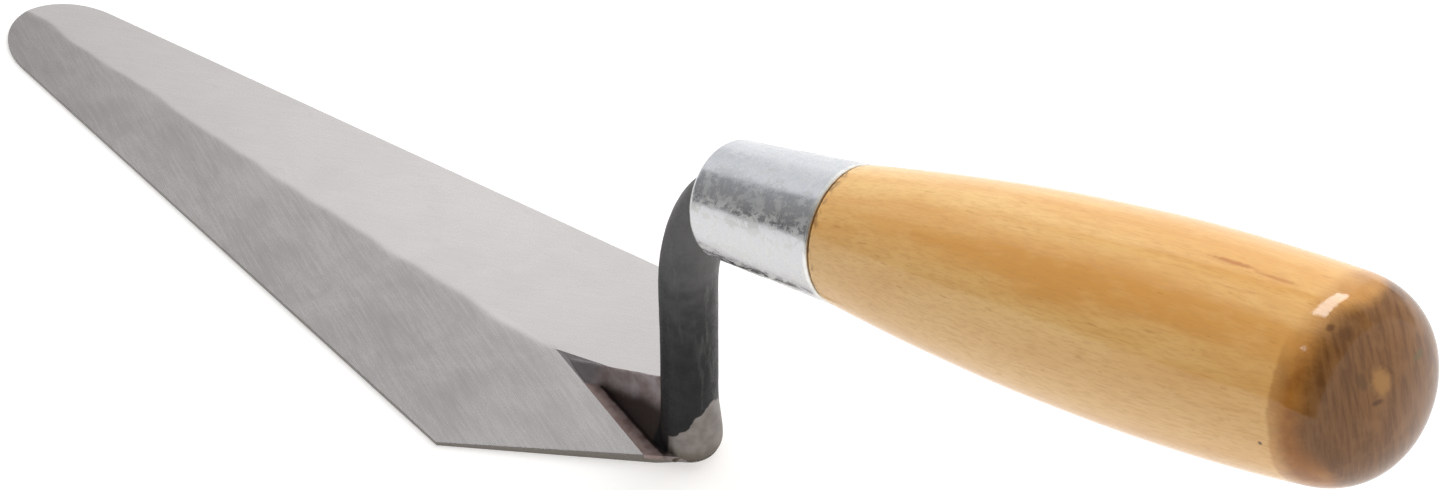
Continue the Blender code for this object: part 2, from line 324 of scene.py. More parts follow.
def swell(blade):
    """Slow waves in the facets, which leave the underside and the edges as they are."""
    for vertex in blade.data.vertices:
        x, y, z = vertex.co
        if z > SWELL_FROM:
            wave = noise.noise(Vector((x / SWELL_LENGTH, y / SWELL_WIDTH, 3.0)))
            vertex.co.z += SWELL * wave * min(1.0, (z - SWELL_FROM) / SWELL_FADE)


def build_blade():
    """The ground plate with its rounded edges, uneven ridge and V-shaped seat."""
    points, left, right = edge_loops()
    faces = strips(left) + strips(right) + underside(left[0], right[0])
    faces += strips(top_rows(points, left[-1], right[-1]))
    blade = mesh_object("blade_plate", points, faces)
    swell(blade)
    boolean(blade, seat_cutter(), "DIFFERENCE")
    shade(blade, BLADE_SHARP)
    return blade


def seat_cutter():
    """A wedge that cuts the V out of the heel, down to the seat's floor."""
    back = -3 * HEEL_RADIUS
    half = SEAT_SLOPE * (SEAT_APEX_X - back)
    ring = [(SEAT_APEX_X, 0.0), (back, half), (back, -half)]
    rings = [[(x, y, z) for x, y in ring] for z in (SEAT_FLOOR, 4 * RIDGE_AT_HEEL)]
    return mesh_object("seat_cutter", *sweep(rings), smooth=False)


# ------------------------------------------------------------------ shank and welds


CREASE_X = 22.2 * MM
CREASE_Y = 0.8 * MM  # half width of the rib's foot there
CREASE_SLOPE = 0.261  # how fast it widens to the back
CREASE_LEAST = 0.35 * MM
RIB_OVER_SEAT = 0.35 * MM  # how far the rib's toe laps over the V's edge
SPADE_FROM = 20.5 * MM  # in front of this the rib widens to fill the V
SPADE_FULL = 24.5 * MM
SPADE_LIFT = 0.8 * MM
RIB_TOE_X = 31.0 * MM
RIB_TOE_Z = 2.1 * MM
RIB_SLOPE = 0.46
RIB_BACK_X = -2.0 * MM
RIB_WIDEST = 6.4 * MM
RIB_CREST_SHARE = 0.14  # width of the crest for the width of the foot
FLANK_POINTS = 9
FOOT_FLARE = 0.95 * MM
FLARE_FULL = 3 * MM  # up to this height, and gone at the next
FLARE_GONE = 14 * MM
FOOT_ROUND = 2.8 * MM  # height over which the foot's bottom edge is rounded off, and how far in
FOOT_ROUND_IN = 0.8 * MM
HEEL_SHARE = 0.8  # share of a weld's length before it turns round the heel
WELD_SPLIT_X = 24 * MM  # beyond this the two beads meet in the middle
WELD_OVERLAP = 0.6 * MM  # how far a bead runs under the rib
WELD_DEPTH = 0.85 * MM  # deepest sink below its lip
WELD_BELOW_LIP = 0.05 * MM
WELD_CLEAR = 0.02 * MM  # over the seat's floor


def crease(x):
    """Half width of the rib where it rises from the welds."""
    return max(CREASE_LEAST, CREASE_Y + CREASE_SLOPE * (CREASE_X - x))


def rib_crest(x):
    """Height of the rib, which rises straight from its toe to the shank."""
    return RIB_TOE_Z + RIB_SLOPE * max(0.0, RIB_TOE_X - x)


def rib_section(x):
    """One flank up to the crest and the other down again. Near its toe the rib fills the V like a spade."""
    spade = float(smoothstep(SPADE_FROM, SPADE_FULL, x))
    whole = SEAT_SLOPE * (SEAT_APEX_X - x) + RIB_OVER_SEAT
    base = min(crease(x) * (1 - spade) + whole * spade, RIB_WIDEST)
    low = SEAT_FLOOR + SPADE_LIFT * spade
    high = rib_crest(x)
    flank = []
    for share in spread(0.0, 1.0, FLANK_POINTS):
        narrowing = (1 - share) ** 1.6 * (1 - RIB_CREST_SHARE) + RIB_CREST_SHARE
        flank.append((base * narrowing, low + (high - low) * share**1.15))
    y, z = flank.pop()
    flank.append((0.5 * y, z))
    return [(x, y, z) for y, z in flank] + [(x, -y, z) for y, z in reversed(flank)]


def build_rib():
    """The ramp in front of the bar, from its toe back into the bar."""
    rings = [rib_section(x) for x in spread(RIB_TOE_X + 1.0 * MM, RIB_BACK_X, 60)]
    return mesh_object("rib", *sweep(rings), smooth=False)


def shank_line():
    """Middle points of the bar and how far it leans back there, from the foot to the ferrule's wall."""
    knee = Vector((0.0, 0.0, AXIS_PLACE.z + AXIS_PLACE.x * tan(HANDLE_RISE)))
    start = knee - Vector((0.0, 0.0, BEND_BELOW))
    stop = knee + BEND_BEYOND * Vector((-cos(HANDLE_RISE), 0.0, sin(HANDLE_RISE)))
    spots = [Vector((0.0, 0.0, z)) for z in spread(SEAT_FLOOR, start.z, 60, endpoint=False)]
    for t in spread(0.0, 1.0, 30):
        shares = ((1 - t) ** 2, 2 * BEND_PULL * t * (1 - t), t**2)
        spots.append((shares[0] * start + shares[1] * knee + shares[2] * stop) / sum(shares))
    spots.append(axis_frame() @ Vector((0.0, 0.0, WALL)))
    rows = []
    for i, spot in enumerate(spots):
        along = spots[min(i + 1, len(spots) - 1)] - spots[max(i - 1, 0)]
        rows.append((spot, atan2(-along.x, along.z)))
    return rows


def bar_radius(z, backward):
    """The foot flares towards its back, and its bottom edge there is rounded off."""
    flare = FOOT_FLARE * float(1 - smoothstep(FLARE_FULL, FLARE_GONE, z)) * (0.3 + 0.7 * backward)
    low = max(0.0, (SEAT_FLOOR + FOOT_ROUND - z) / FOOT_ROUND)
    rounding = FOOT_ROUND_IN * (1 - (1 - low**2) ** 0.5) * (0.25 + 0.75 * backward)
    return SHANK_RADIUS + flare - rounding


def build_shank():
    """Bar, rib and tang in one skin, softened and pitted like hot-rolled scale."""
    rings = []
    for middle, lean in shank_line():
        inward = Vector((-cos(lean), 0.0, -sin(lean)))
        ring = []
        for angle in spread(0.0, 2 * pi, BAR_SIDES, endpoint=False):
            radius = bar_radius(middle.z, max(0.0, cos(angle)))
            ring.append(middle + radius * (cos(angle) * inward + sin(angle) * Vector((0.0, 1.0, 0.0))))
        rings.append(ring)
    shank = mesh_object("shank_bar", *sweep(rings), smooth=False)
    boolean(shank, build_rib(), "UNION")
    boolean(shank, build_tang(), "UNION")
    remesh = shank.modifiers.new("remesh", "REMESH")
    remesh.mode = "VOXEL"
    remesh.voxel_size = VOXEL
    soften = shank.modifiers.new("soften", "SMOOTH")
    soften.factor = 0.5
    soften.iterations = 6
    apply_modifiers(shank)
    rumple(shank, 0.14 * MM, 4.0 * MM, 1, (1.0, 1.0, 4.0))
    rumple(shank, 0.03 * MM, 1.6 * MM, 2, (1.0, 1.0, 2.0))
    shank.data.shade_smooth()
    return shank


def build_tang():
    """The square spike that is driven into the handle."""
    rings = []
    for height, half in ((-WALL, 2.5 * MM), (TANG_END, 1.5 * MM)):
        corners = ((half, half), (-half, half), (-half, -half), (half, -half))
        rings.append([tuple(axis_frame() @ Vector((x, y, height))) for x, y in corners])
    return mesh_object("tang", *sweep(rings), smooth=False)


def weld_edges():
    """Pairs of places (outer, inner) along a bead: down the V's edge, then round the heel's edge."""
    bearing = heel_edge_bearing()
    leave = Vector((HEEL_RADIUS * cos(bearing), HEEL_RADIUS * sin(bearing)))
    run = (Vector((CORNER_X, CORNER_Y)) - leave).normalized()
    # where the V's edge meets the heel's edge
    reach = (SEAT_SLOPE * (SEAT_APEX_X - leave.x) - leave.y) / (run.y + SEAT_SLOPE * run.x)
    meet = leave + run * reach
    edges = []
    for share in spread(0.0, 1.0, 70):
        if share < HEEL_SHARE:
            x = SEAT_APEX_X + (meet.x - SEAT_APEX_X) * share / HEEL_SHARE
            outer = Vector((x, SEAT_SLOPE * (SEAT_APEX_X - x)))
            inner = Vector((x, crease(x) - WELD_OVERLAP if x < WELD_SPLIT_X else 0.0))
        else:
            along = (share - HEEL_SHARE) / (1 - HEEL_SHARE)
            outer = meet.lerp(leave, along)
            inner = Vector((meet.x, crease(meet.x) - WELD_OVERLAP)).lerp(leave * 0.9, along)
        edges.append((outer, inner))
    return edges


def build_weld(name, side):
    """The sunk, heat-tinted bead between the V's edge and the rib."""
    floor = SEAT_FLOOR + WELD_CLEAR
    rings = []
    for outer, inner in weld_edges():
        lip = float(top_height(outer.x, outer.y)[0]) - WELD_BELOW_LIP
        shallow = 1 - 0.8 * float(smoothstep(19 * MM, 25 * MM, outer.x))
        depth = min(WELD_DEPTH, 0.25 * (outer - inner).length) * shallow
        ring = [(*outer, floor)]
        for t in spread(0.0, 1.0, 14):
            dip = depth * (0.25 * t + 0.75 * t**3)
            ring.append((*outer.lerp(inner, t), max(SEAT_FLOOR + 0.1 * MM, lip - dip)))
        ring.append((*inner, floor))
        rings.append([(x, side * y, z) for x, y, z in ring])
    return mesh_object(name, *sweep(rings))


# ------------------------------------------------------------------ ferrule and handle


def ferrule_radius(height):
    """The cup widens evenly to the back."""
    return FERRULE_FRONT + (FERRULE_REAR - FERRULE_FRONT) * height / FERRULE_LENGTH


def build_ferrule():
    """A drawn cup with a rounded front edge, a hole for the bar and a soft rear rim."""
    edge = 1.1 * MM
    centre = ferrule_radius(edge) - edge
    hole = SHANK_RADIUS + GAP
    outer = [(ferrule_radius(h), h) for h in spread(FERRULE_LENGTH - 0.25 * MM, edge * 1.1, 40)]
    front = [(centre + edge * cos(a), edge - edge * sin(a)) for a in spread(0.05, pi / 2, 12)]
    mouth = [(hole + 0.25 * MM, 0.0), (hole, 0.25 * MM), (hole, WALL)]
    inner = [(ferrule_radius(h) - WALL, h) for h in (WALL, FERRULE_LENGTH - 0.1 * MM)]
    rear = [
        (FERRULE_REAR - WALL + 0.15 * MM, FERRULE_LENGTH),
        (FERRULE_REAR - 0.22 * MM, FERRULE_LENGTH),
        (FERRULE_REAR - 0.07 * MM, FERRULE_LENGTH - 0.08 * MM),
    ]
    ferrule = turned("ferrule_cup", outer + front + mouth + inner + rear, closed=True)
    rumple(ferrule, 0.05 * MM, 7 * MM, 3)
    return ferrule


BODY_LENGTH = 85.6 * MM
BODY_START = FERRULE_LENGTH + GAP
BUTT_START = BODY_START + BODY_LENGTH
BODY_END = 15.35 * MM  # radius where the butt's rounding begins
NECK_SLOPE = 0.138
BUTT_SLOPE = -0.078
DOME_LENGTH = 12.7 * MM
DOME_POWER = 2.35
BORE_FRONT = 3.75 * MM  # radius of the bore at its mouth and at its end
BORE_END = 2.4 * MM
BORE_CLEAR = 0.5 * MM  # what the bore is longer than the tang


def body_radius(share):
    """A cubic curve from the ferrule to the butt with the given slope at each end."""
    rise = BODY_END - FERRULE_REAR
    start, end = NECK_SLOPE * BODY_LENGTH, BUTT_SLOPE * BODY_LENGTH
    square, cube = 3 * rise - 2 * start - end, start + end - 2 * rise
    return FERRULE_REAR + start * share + square * share**2 + cube * share**3


def butt_profile():
    """Points (radius, height) of the rounded end, from its middle to the body."""
    points = [(0.0, BUTT_START + DOME_LENGTH)]
    for angle in spread(pi / 2, 0.0, 60)[1:]:
        along = sin(angle) ** (2 / DOME_POWER)
        radius = (BODY_END + BUTT_SLOPE * DOME_LENGTH * along) * cos(angle) ** (2 / DOME_POWER)
        points.append((radius, BUTT_START + DOME_LENGTH * along))
    return points


def build_handle():
    """Butt, body, tenon and bore, turned as one piece."""
    body = [(body_radius(t), BODY_START + BODY_LENGTH * t) for t in spread(1.0, 0.0, 130)[1:]]
    inset = WALL + GAP
    front_edge = [(body[-1][0], BODY_START + 0.2 * MM), (FERRULE_REAR - 0.25 * MM, BODY_START)]
    tenon = [(ferrule_radius(h) - inset, h) for h in (BODY_START, inset)]
    bore_end = TANG_END + BORE_CLEAR
    bore = [(BORE_FRONT, inset), (BORE_END, bore_end), (0.0, bore_end)]
    handle = turned("handle_wood", butt_profile() + body[:-1] + front_edge + tenon + bore)
    rumple(handle, 0.08 * MM, 18 * MM, 4, sink=0.6)
    return handle


# ------------------------------------------------------------------ materials


class Shade:
    """Builds the nodes of one material, or of the world, in a few words. It is called s below."""

    def __init__(self, name="", tree=None):
        if tree:
            self.tree = tree
            return
        self.material = bpy.data.materials.new(name)
        self.material.use_nodes = True
        self.tree = self.material.node_tree
        self.shader = self.tree.nodes["Principled BSDF"]
        self.place = self.node("ShaderNodeTexCoord").outputs["Object"]

    def node(self, kind, settings=None, **sockets):
        """Adds a node. Each socket is given by its name, or as i0, i1 and i2 by its number."""
        made = self.tree.nodes.new(kind)
        for key, value in (settings or {}).items():
            setattr(made, key, value)
        for key, value in sockets.items():
            index = int(key[1:]) if key[0] == "i" and key[1:].isdigit() else key.replace("_", " ")
            self.set(made.inputs[index], value)
        return made

    def set(self, socket, value):
        """Links another node's output to the socket, or gives it a plain number or colour."""
        if isinstance(value, bpy.types.NodeSocket):
            self.tree.links.new(value, socket)
        elif socket.type == "RGBA" and len(value) == 3:
            socket.default_value = (*value, 1.0)
        else:
            socket.default_value = value

    def surface(self, **sockets):
        """Sets sockets of the material's own shader."""
        for key, value in sockets.items():
            self.set(self.shader.inputs[key.replace("_", " ")], value)

    def math(self, operation, first, second=0.0, third=0.0):
        made = self.node("ShaderNodeMath", {"operation": operation}, i0=first, i1=second, i2=third)
        return made.outputs[0]

    def plus(self, first, second):
        return self.math("ADD", first, second)

    def minus(self, first, second):
        return self.math("SUBTRACT", first, second)

    def times(self, first, second):
        return self.math("MULTIPLY", first, second)

    def swing(self, value, width):
        """A value from 0 to 1 as a swing of that width about zero."""
        return self.times(self.minus(value, 0.5), width)

    def move(self, scale=(1, 1, 1), turn=(0, 0, 0), shift=(0, 0, 0), vector=None):
        """Coordinates that are scaled, then turned, then shifted."""
        made = self.node("ShaderNodeMapping", Vector=vector or self.place)
        made.inputs["Scale"].default_value = scale
        made.inputs["Rotation"].default_value = turn
        made.inputs["Location"].default_value = shift
        return made.outputs[0]

    def noise(self, size, detail=3.0, rough=0.5, vector=None, bend=0.0):
        """Noise with features of about that size in metres."""
        sockets = {"Scale": 1.0 / size, "Detail": detail, "Roughness": rough, "Distortion": bend}
        return self.node("ShaderNodeTexNoise", Vector=vector or self.place, **sockets).outputs["Fac"]

    def ramp(self, value, low, high, out_low=0.0, out_high=1.0):
        """Smooth step of the value from one range to another."""
        made = self.node("ShaderNodeMapRange", {"interpolation_type": "SMOOTHSTEP"}, Value=value)
        limits = {"From Min": low, "From Max": high, "To Min": out_low, "To Max": out_high}
        for name, number in limits.items():
            made.inputs[name].default_value = number
        return made.outputs["Result"]

    def mix(self, share, first, second, blend="MIX"):
        """The first colour where the share is 0 and the second where it is 1."""
        made = self.node("ShaderNodeMix", {"data_type": "RGBA", "blend_type": blend}, i0=share)
        self.set(made.inputs[6], first)
        self.set(made.inputs[7], second)
        return made.outputs[2]

    def coats(self, tone, *layers):
        """Lays each (share, colour) over the tone in turn."""
        for share, colour in layers:
            tone = self.mix(share, tone, colour)
        return tone

    def bump(self, height, depth, strength=1.0, under=None):
        """A bump of a height from 0 to 1, that deep in metres."""
        made = self.node("ShaderNodeBump", Height=height, Distance=depth, Strength=strength)
        if under:
            self.set(made.inputs["Normal"], under)
        return made.outputs[0]

    def on_axis(self):
        """Coordinates in the handle's own frame."""
        back = axis_frame().inverted()
        return self.move(turn=tuple(back.to_euler()), shift=tuple(back.translation))

    def lean(self):
        """How far the surface faces the butt, from -1 to 1."""
        normal = self.node("ShaderNodeTexCoord").outputs["Normal"]
        made = self.node("ShaderNodeVectorMath", {"operation": "DOT_PRODUCT"}, i0=normal)
        made.inputs[1].default_value = axis_frame().to_3x3().col[2]
        return made.outputs["Value"]

    def parts(self, vector=None):
        """The x, y and z of a vector, or else of the place on the piece."""
        return self.node("ShaderNodeSeparateXYZ", Vector=vector or self.place).outputs


def grinding_strokes(s, bearing):
    """Long thin streaks along that bearing on the blade."""
    along = s.move(scale=(0.07, 1, 1), vector=s.move(turn=(0, 0, -bearing)))
    return s.noise(0.6 * MM, 4.0, 0.65, vector=along)


def ground_steel():
    """Steel ground a different way on each facet, cloudy, darker to the tip and brown on its thin rim."""
    s = Shade("ground_steel")
    x, y, _ = s.parts()
    left = s.ramp(y, -0.6 * MM, 0.6 * MM)
    right = s.ramp(left, 0.0, 1.0, 1.0, 0.0)
    streak = s.mix(left, *(grinding_strokes(s, radians(bearing)) for bearing in (28, -20)))
    cloud = s.noise(14 * MM, 4.0, 0.6, bend=0.6)
    fleck = s.noise(3 * MM, 3.0, 0.6, vector=s.move(scale=(0.4, 1, 1), turn=(0, 0, 0.4)))
    facing_up = s.parts(s.node("ShaderNodeTexCoord").outputs["Normal"])[2]
    rim = s.minus(s.ramp(facing_up, 0.2, 0.5, 1.0, 0.0), s.ramp(facing_up, -0.7, -0.4, 1.0, 0.0))
    tone = s.coats(
        s.mix(s.ramp(cloud, 0.35, 0.65), (0.53, 0.512, 0.516), (0.565, 0.548, 0.55)),
        (s.ramp(fleck, 0.6, 0.75, 0.0, 0.3), (0.46, 0.44, 0.44)),
        (s.ramp(streak, 0.35, 0.65, 0.0, 0.1), (0.64, 0.625, 0.62)),
        (s.times(s.ramp(x, 70 * MM, 20 * MM, 0.0, 0.3), right), (0.44, 0.425, 0.43)),
        (s.times(left, s.ramp(x, 60 * MM, 15 * MM, 0.0, 0.5)), (0.66, 0.64, 0.645)),
        (s.ramp(x, 80 * MM, 200 * MM, 0.0, 0.5), (0.40, 0.385, 0.385)),
        (s.times(left, s.ramp(x, 150 * MM, 200 * MM, 0.0, 0.4)), (0.36, 0.35, 0.35)),
        (rim, (0.20, 0.185, 0.165)),
    )
    rough = s.plus(s.ramp(streak, 0.3, 0.7, 0.24, 0.285), s.ramp(cloud, 0.3, 0.7, -0.01, 0.02))
    s.surface(Base_Color=tone, Metallic=1.0, Roughness=rough)
    s.surface(Normal=s.bump(streak, 0.012 * MM, 0.25))
    return s.material


# Near black, laid low in the crease beside the rib and in the corner by the foot
CREASE_BLACK = (0.042, 0.028, 0.026)


def scale_tone(s, mottle):
    """Black with streaks up and down, darkest near the blade, grey near the bend, painted sheen front and
    back.
    """
    _, y, z = s.parts()
    streak = s.noise(1.6 * MM, 3.0, 0.6, vector=s.move(scale=(1, 1, 0.18)))
    # Painted reflection: the greenish grey streaks this mask lays low on the bar's front and back stand in
    # for light on its edges.
    painted_edge_sheen = s.times(s.ramp(streak, 0.52, 0.62), s.ramp(s.math("ABSOLUTE", y), 4 * MM, 1 * MM))
    return s.coats(
        s.mix(s.ramp(mottle, 0.35, 0.65), (0.028, 0.029, 0.030), (0.060, 0.060, 0.062)),
        (s.ramp(streak, 0.5, 0.75, 0.0, 0.6), (0.085, 0.088, 0.088)),
        (s.ramp(z, 52 * MM, 20 * MM, 0.0, 0.8), (0.015, 0.015, 0.016)),
        (s.ramp(z, 38 * MM, 60 * MM, 0.0, 0.55), (0.115, 0.115, 0.115)),
        (s.times(painted_edge_sheen, s.ramp(z, 50 * MM, 40 * MM, 0.0, 0.3)), (0.10, 0.115, 0.10)),
    )


def bare_share(s):
    """Where the scale is ground off the back of the foot, below a bowed and wobbly border."""
    x, y, z = s.parts()
    around = s.math("ARCTAN2", s.math("ABSOLUTE", y), s.times(x, -1.0))
    border = s.plus(s.times(s.math("COSINE", s.times(around, 1.6)), 4.2 * MM), 9.6 * MM)
    wobble = s.swing(s.noise(3.6 * MM, 2.0, 0.4), 5.0 * MM)
    below = s.plus(s.minus(border, z), wobble)
    behind = s.ramp(s.minus(s.times(wobble, 0.15), x), -0.7 * MM, -0.1 * MM)
    return s.times(s.ramp(below, -0.15 * MM, 0.25 * MM), behind)


def rib_tone(s, mottle):
    """Heat-tinted steel, near black down in the corner between the weld and the foot."""
    x, _, z = s.parts()
    reach = s.math("MULTIPLY_ADD", s.ramp(x, 25 * MM, 6 * MM), 5.5 * MM, 1.3 * MM)
    above = s.minus(s.plus(z, s.times(mottle, 1.5 * MM)), reach)
    return s.coats(
        s.mix(s.ramp(mottle, 0.3, 0.7), (0.26, 0.20, 0.19), (0.44, 0.39, 0.40)),
        (s.ramp(x, 20 * MM, 25 * MM), (0.19, 0.175, 0.185)),
        (s.times(s.ramp(above, 2.8 * MM, -0.5 * MM), s.ramp(x, 25.5 * MM, 22 * MM)), CREASE_BLACK),
    )


def black_scale():
    """Mill scale on the bar, with bare brown metal at the back of the foot and a heat-tinted rib."""
    s = Shade("black_scale")
    x, _, z = s.parts()
    mottle = s.noise(4 * MM, 5.0, 0.65)
    fine = s.noise(0.5 * MM, 3.0, 0.6)
    bare = bare_share(s)
    bare_tone = s.coats(
        s.mix(s.ramp(mottle, 0.4, 0.6), (0.185, 0.165, 0.153), (0.245, 0.226, 0.212)),
        (s.ramp(z, 5 * MM, 1 * MM, 0.0, 0.85), (0.105, 0.082, 0.056)),
    )
    rib = s.times(s.ramp(x, 4.3 * MM, 5.4 * MM), s.ramp(z, 17 * MM, 14 * MM))
    bar_tone = s.mix(bare, scale_tone(s, mottle), bare_tone)
    metal = s.math("MAXIMUM", s.times(bare, 0.8), s.ramp(z, 52 * MM, 24 * MM, 0.35, 0.85))
    s.surface(Base_Color=s.mix(rib, bar_tone, rib_tone(s, mottle)))
    s.surface(Metallic=s.mix(rib, metal, (0.5, 0.5, 0.5)))
    s.surface(Roughness=s.ramp(fine, 0.3, 0.7, 0.42, 0.6))
    s.surface(Normal=s.bump(mottle, 0.08 * MM, 0.6, s.bump(fine, 0.02 * MM, 0.7)))
    return s.material


def crease_distance(s):
    """How far aside of the rib's foot a place is, in metres."""
    x, y, _ = s.parts()
    half = s.math("MULTIPLY_ADD", x, -CREASE_SLOPE, CREASE_Y + CREASE_SLOPE * CREASE_X)
    return s.minus(s.math("ABSOLUTE", y), half)


def weld_tint():
    """Pink heat tint, grey towards the toe and near black in the crease beside the rib."""
    s = Shade("weld_tint")
    x, _, _ = s.parts()
    mottle = s.noise(2.2 * MM, 4.0, 0.6)
    spots = s.ramp(mottle, 0.35, 0.65)
    pink = s.mix(spots, (0.25, 0.175, 0.165), (0.36, 0.28, 0.265))
    grey = s.mix(spots, (0.17, 0.155, 0.165), (0.22, 0.205, 0.215))
    aside = s.plus(crease_distance(s), s.swing(mottle, 0.8 * MM))
    beside_rib = s.times(s.ramp(aside, 0.9 * MM, 0.25 * MM), s.ramp(x, 25 * MM, 22 * MM))
    tone = s.coats(
        s.mix(s.ramp(x, 22.5 * MM, 26 * MM), pink, grey),
        (s.ramp(x, 2 * MM, -2 * MM), (0.24, 0.215, 0.205)),
        (s.times(beside_rib, s.ramp(x, -0.5 * MM, 0.8 * MM)), CREASE_BLACK),
    )
    s.surface(Base_Color=tone, Metallic=0.75, Roughness=s.ramp(mottle, 0.3, 0.7, 0.38, 0.52))
    s.surface(Normal=s.bump(mottle, 0.05 * MM, 0.6))
    return s.material


def zinc_plate():
    """Bright zinc with dull patches, scratches round the cup and a burnished rear rim."""
    s = Shade("zinc_plate")
    s.place = s.on_axis()
    _, y, z = s.parts()
    mottle = s.noise(1.3 * MM, 5.0, 0.7)
    stain = s.noise(1.6 * MM, 4.0, 0.7)
    spangle = s.node("ShaderNodeTexVoronoi", Vector=s.place, Scale=1.0 / (2.2 * MM)).outputs["Distance"]
    rings = s.noise(0.6 * MM, 3.0, 0.6, vector=s.move(scale=(0.08, 0.08, 1)))
    smudge = s.noise(1.8 * MM, 6.0, 0.75, vector=s.move(scale=(1, 1, 0.8)), bend=0.2)
    scratch = s.noise(0.35 * MM, 2.0, 0.5, vector=s.move(scale=(0.15, 0.15, 1)))
    dull = s.math("MAXIMUM", s.ramp(smudge, 0.45, 0.60), s.ramp(scratch, 0.60, 0.70, 0.0, 0.6))
    rim = s.ramp(z, FERRULE_LENGTH - 0.9 * MM, FERRULE_LENGTH - 0.5 * MM)
    tone = s.coats(
        s.mix(s.ramp(mottle, 0.38, 0.62), (0.63, 0.66, 0.695), (0.69, 0.71, 0.73)),
        (s.ramp(y, 5 * MM, 9.5 * MM, 0.0, 0.8), (0.665, 0.665, 0.65)),
        (s.ramp(stain, 0.60, 0.72, 0.0, 0.35), (0.50, 0.48, 0.38)),
        (s.minus(0.35, s.times(dull, 0.35)), (0.43, 0.44, 0.52)),
        (s.times(rim, s.ramp(mottle, 0.35, 0.6, 0.3, 1.0)), (0.84, 0.84, 0.81)),
    )
    rough = s.math("MAXIMUM", s.math("MULTIPLY_ADD", dull, 0.30, 0.15), s.times(rim, 0.35))
    s.surface(Base_Color=tone, Metallic=1.0, Roughness=s.plus(rough, s.times(spangle, 0.04)))
    s.surface(Normal=s.bump(rings, 0.008 * MM, 0.5, s.bump(mottle, 0.012 * MM, 0.5)))
    return s.material


# Marks in the wood, and a dimple's painted light and shade: middle and half sizes in millimetres in the
# handle's own frame, colour and strength
WOOD_MARKS = (
    ((16.1, 1.2, 99.7), (3.0, 0.45, 4.0), (0.40, 0.13, 0.03), 0.7),
    ((15.8, 1.7, 106.5), (3.0, 0.35, 3.4), (0.42, 0.15, 0.04), 0.6),
    ((-1.3, 15.4, 111.0), (0.35, 0.5, 0.35), (0.10, 0.07, 0.05), 0.9),
    ((13.4, 5.9, 117.1), (0.6, 0.7, 0.6), (0.09, 0.03, 0.008), 0.7),
    ((12.5, 5.3, 119.0), (1.2, 1.3, 1.1), (0.10, 0.04, 0.01), 0.7),
    ((7.7, 7.9, 122.5), (1.3, 0.7, 1.2), (0.10, 0.045, 0.012), 0.6),
    # Painted light and shade of a shallow dimple: a paler spot for its reflection, and a dark rim at its
    # lower side
    ((6.7, 5.7, 124.1), (2.2, 1.6, 1.7), (0.34, 0.17, 0.05), 0.85),
    ((4.4, 7.3, 124.2), (0.4, 0.9, 0.9), (0.08, 0.03, 0.01), 0.8),
    ((6.2, -2.2, 125.0), (0.6, 1.5, 1.5), (0.11, 0.075, 0.02), 0.8),
)


SHOULDER = BUTT_START - 1.2 * MM  # where the side of the handle gives way to the butt


def wood_mark(s, tone, middle, half, colour, strength):
    """Lays a soft, ragged oval spot over the tone."""
    scale = [1 / (size * MM) for size in half]
    shift = [-place * MM * k for place, k in zip(middle, scale)]
    local = s.move(scale=scale, shift=shift)
    distance = s.node("ShaderNodeVectorMath", {"operation": "LENGTH"}, i0=local).outputs["Value"]
    ragged = s.plus(distance, s.times(s.noise(0.8 * MM), 0.8))
    return s.mix(s.ramp(ragged, 1.7, 0.8, 0.0, strength), tone, colour)


def growth_rings(s):
    """Wavy layers of early and late wood, from -1 to 1."""
    _, y, _ = s.parts()
    bend = s.noise(34 * MM, 2.0, 0.5, vector=s.move(scale=(1, 1, 0.35)))
    layer = s.plus(y, s.times(bend, 13 * MM))
    return s.math("SINE", s.times(layer, 2 * pi / (4.6 * MM)))


def orange_streak(s, figure):
    """How strongly the deeper orange streak along the upper left shows."""
    x, y, z = s.parts()
    aside = s.plus(y, s.swing(figure, 9 * MM))
    aside = s.minus(aside, s.ramp(z, 85 * MM, SHOULDER, 0.0, 1.5 * MM))
    across = s.times(s.ramp(aside, 4.5 * MM, 8 * MM), s.ramp(aside, 14 * MM, 11 * MM))
    along = s.times(across, s.ramp(z, 40 * MM, 75 * MM, 0.5, 1.0))
    return s.times(along, s.ramp(x, 0.0, 4 * MM, 0.0, 0.6))


def side_tone(s, grain, fibres, sheen):
    """Yellow wood with rings, grain, fibres and flecks along the handle, and nicks at the ferrule."""
    x, _, z = s.parts()
    flecks = s.noise(0.5 * MM, 2.0, 0.5, vector=s.move(scale=(1, 1, 0.16)))
    figure = s.noise(9 * MM, 2.0, 0.45, vector=s.move(scale=(1, 1, 0.14)), bend=0.3)
    by_ferrule = s.ramp(z, 29.5 * MM, 28 * MM, 0.0, 0.6)
    return s.coats(
        s.mix(s.ramp(figure, 0.36, 0.64), (0.67, 0.365, 0.112), (0.735, 0.465, 0.178)),
        (s.ramp(growth_rings(s), 0.2, 1.0, 0.0, 0.25), (0.60, 0.28, 0.065)),
        (orange_streak(s, figure), (0.60, 0.26, 0.045)),
        (s.ramp(sheen, 0.45, 0.7, 0.0, 0.14), (0.86, 0.60, 0.27)),
        # Painted light: the lower side is painted a paler tan, for the light thrown up from the pale floor.
        (s.ramp(x, 9 * MM, -3 * MM, 0.0, 0.4), (0.74, 0.50, 0.27)),
        (s.ramp(grain, 0.52, 0.75, 0.0, 0.3), (0.52, 0.24, 0.06)),
        (s.ramp(fibres, 0.42, 0.68, 0.0, 0.4), (0.54, 0.27, 0.085)),
        (s.ramp(flecks, 0.66, 0.74, 0.0, 0.35), (0.42, 0.18, 0.04)),
        (s.times(s.ramp(s.noise(1.2 * MM), 0.54, 0.62), by_ferrule), (0.17, 0.08, 0.03)),
    )


def shoulder_share(s, sheen):
    """How amber the wood is as it rounds into the butt: slowly, after a crisp edge that spares the top."""
    x, _, z = s.parts()
    edge = s.plus(z, s.swing(sheen, 1.5 * MM))
    crisp = s.ramp(edge, SHOULDER - 0.1 * MM, SHOULDER + 0.6 * MM, 0.0, 0.5)
    slow = s.ramp(z, SHOULDER + 0.2 * MM, SHOULDER + 3.5 * MM, 0.0, 0.5)
    return s.plus(s.times(crisp, s.ramp(x, 14 * MM, 9 * MM)), slow)


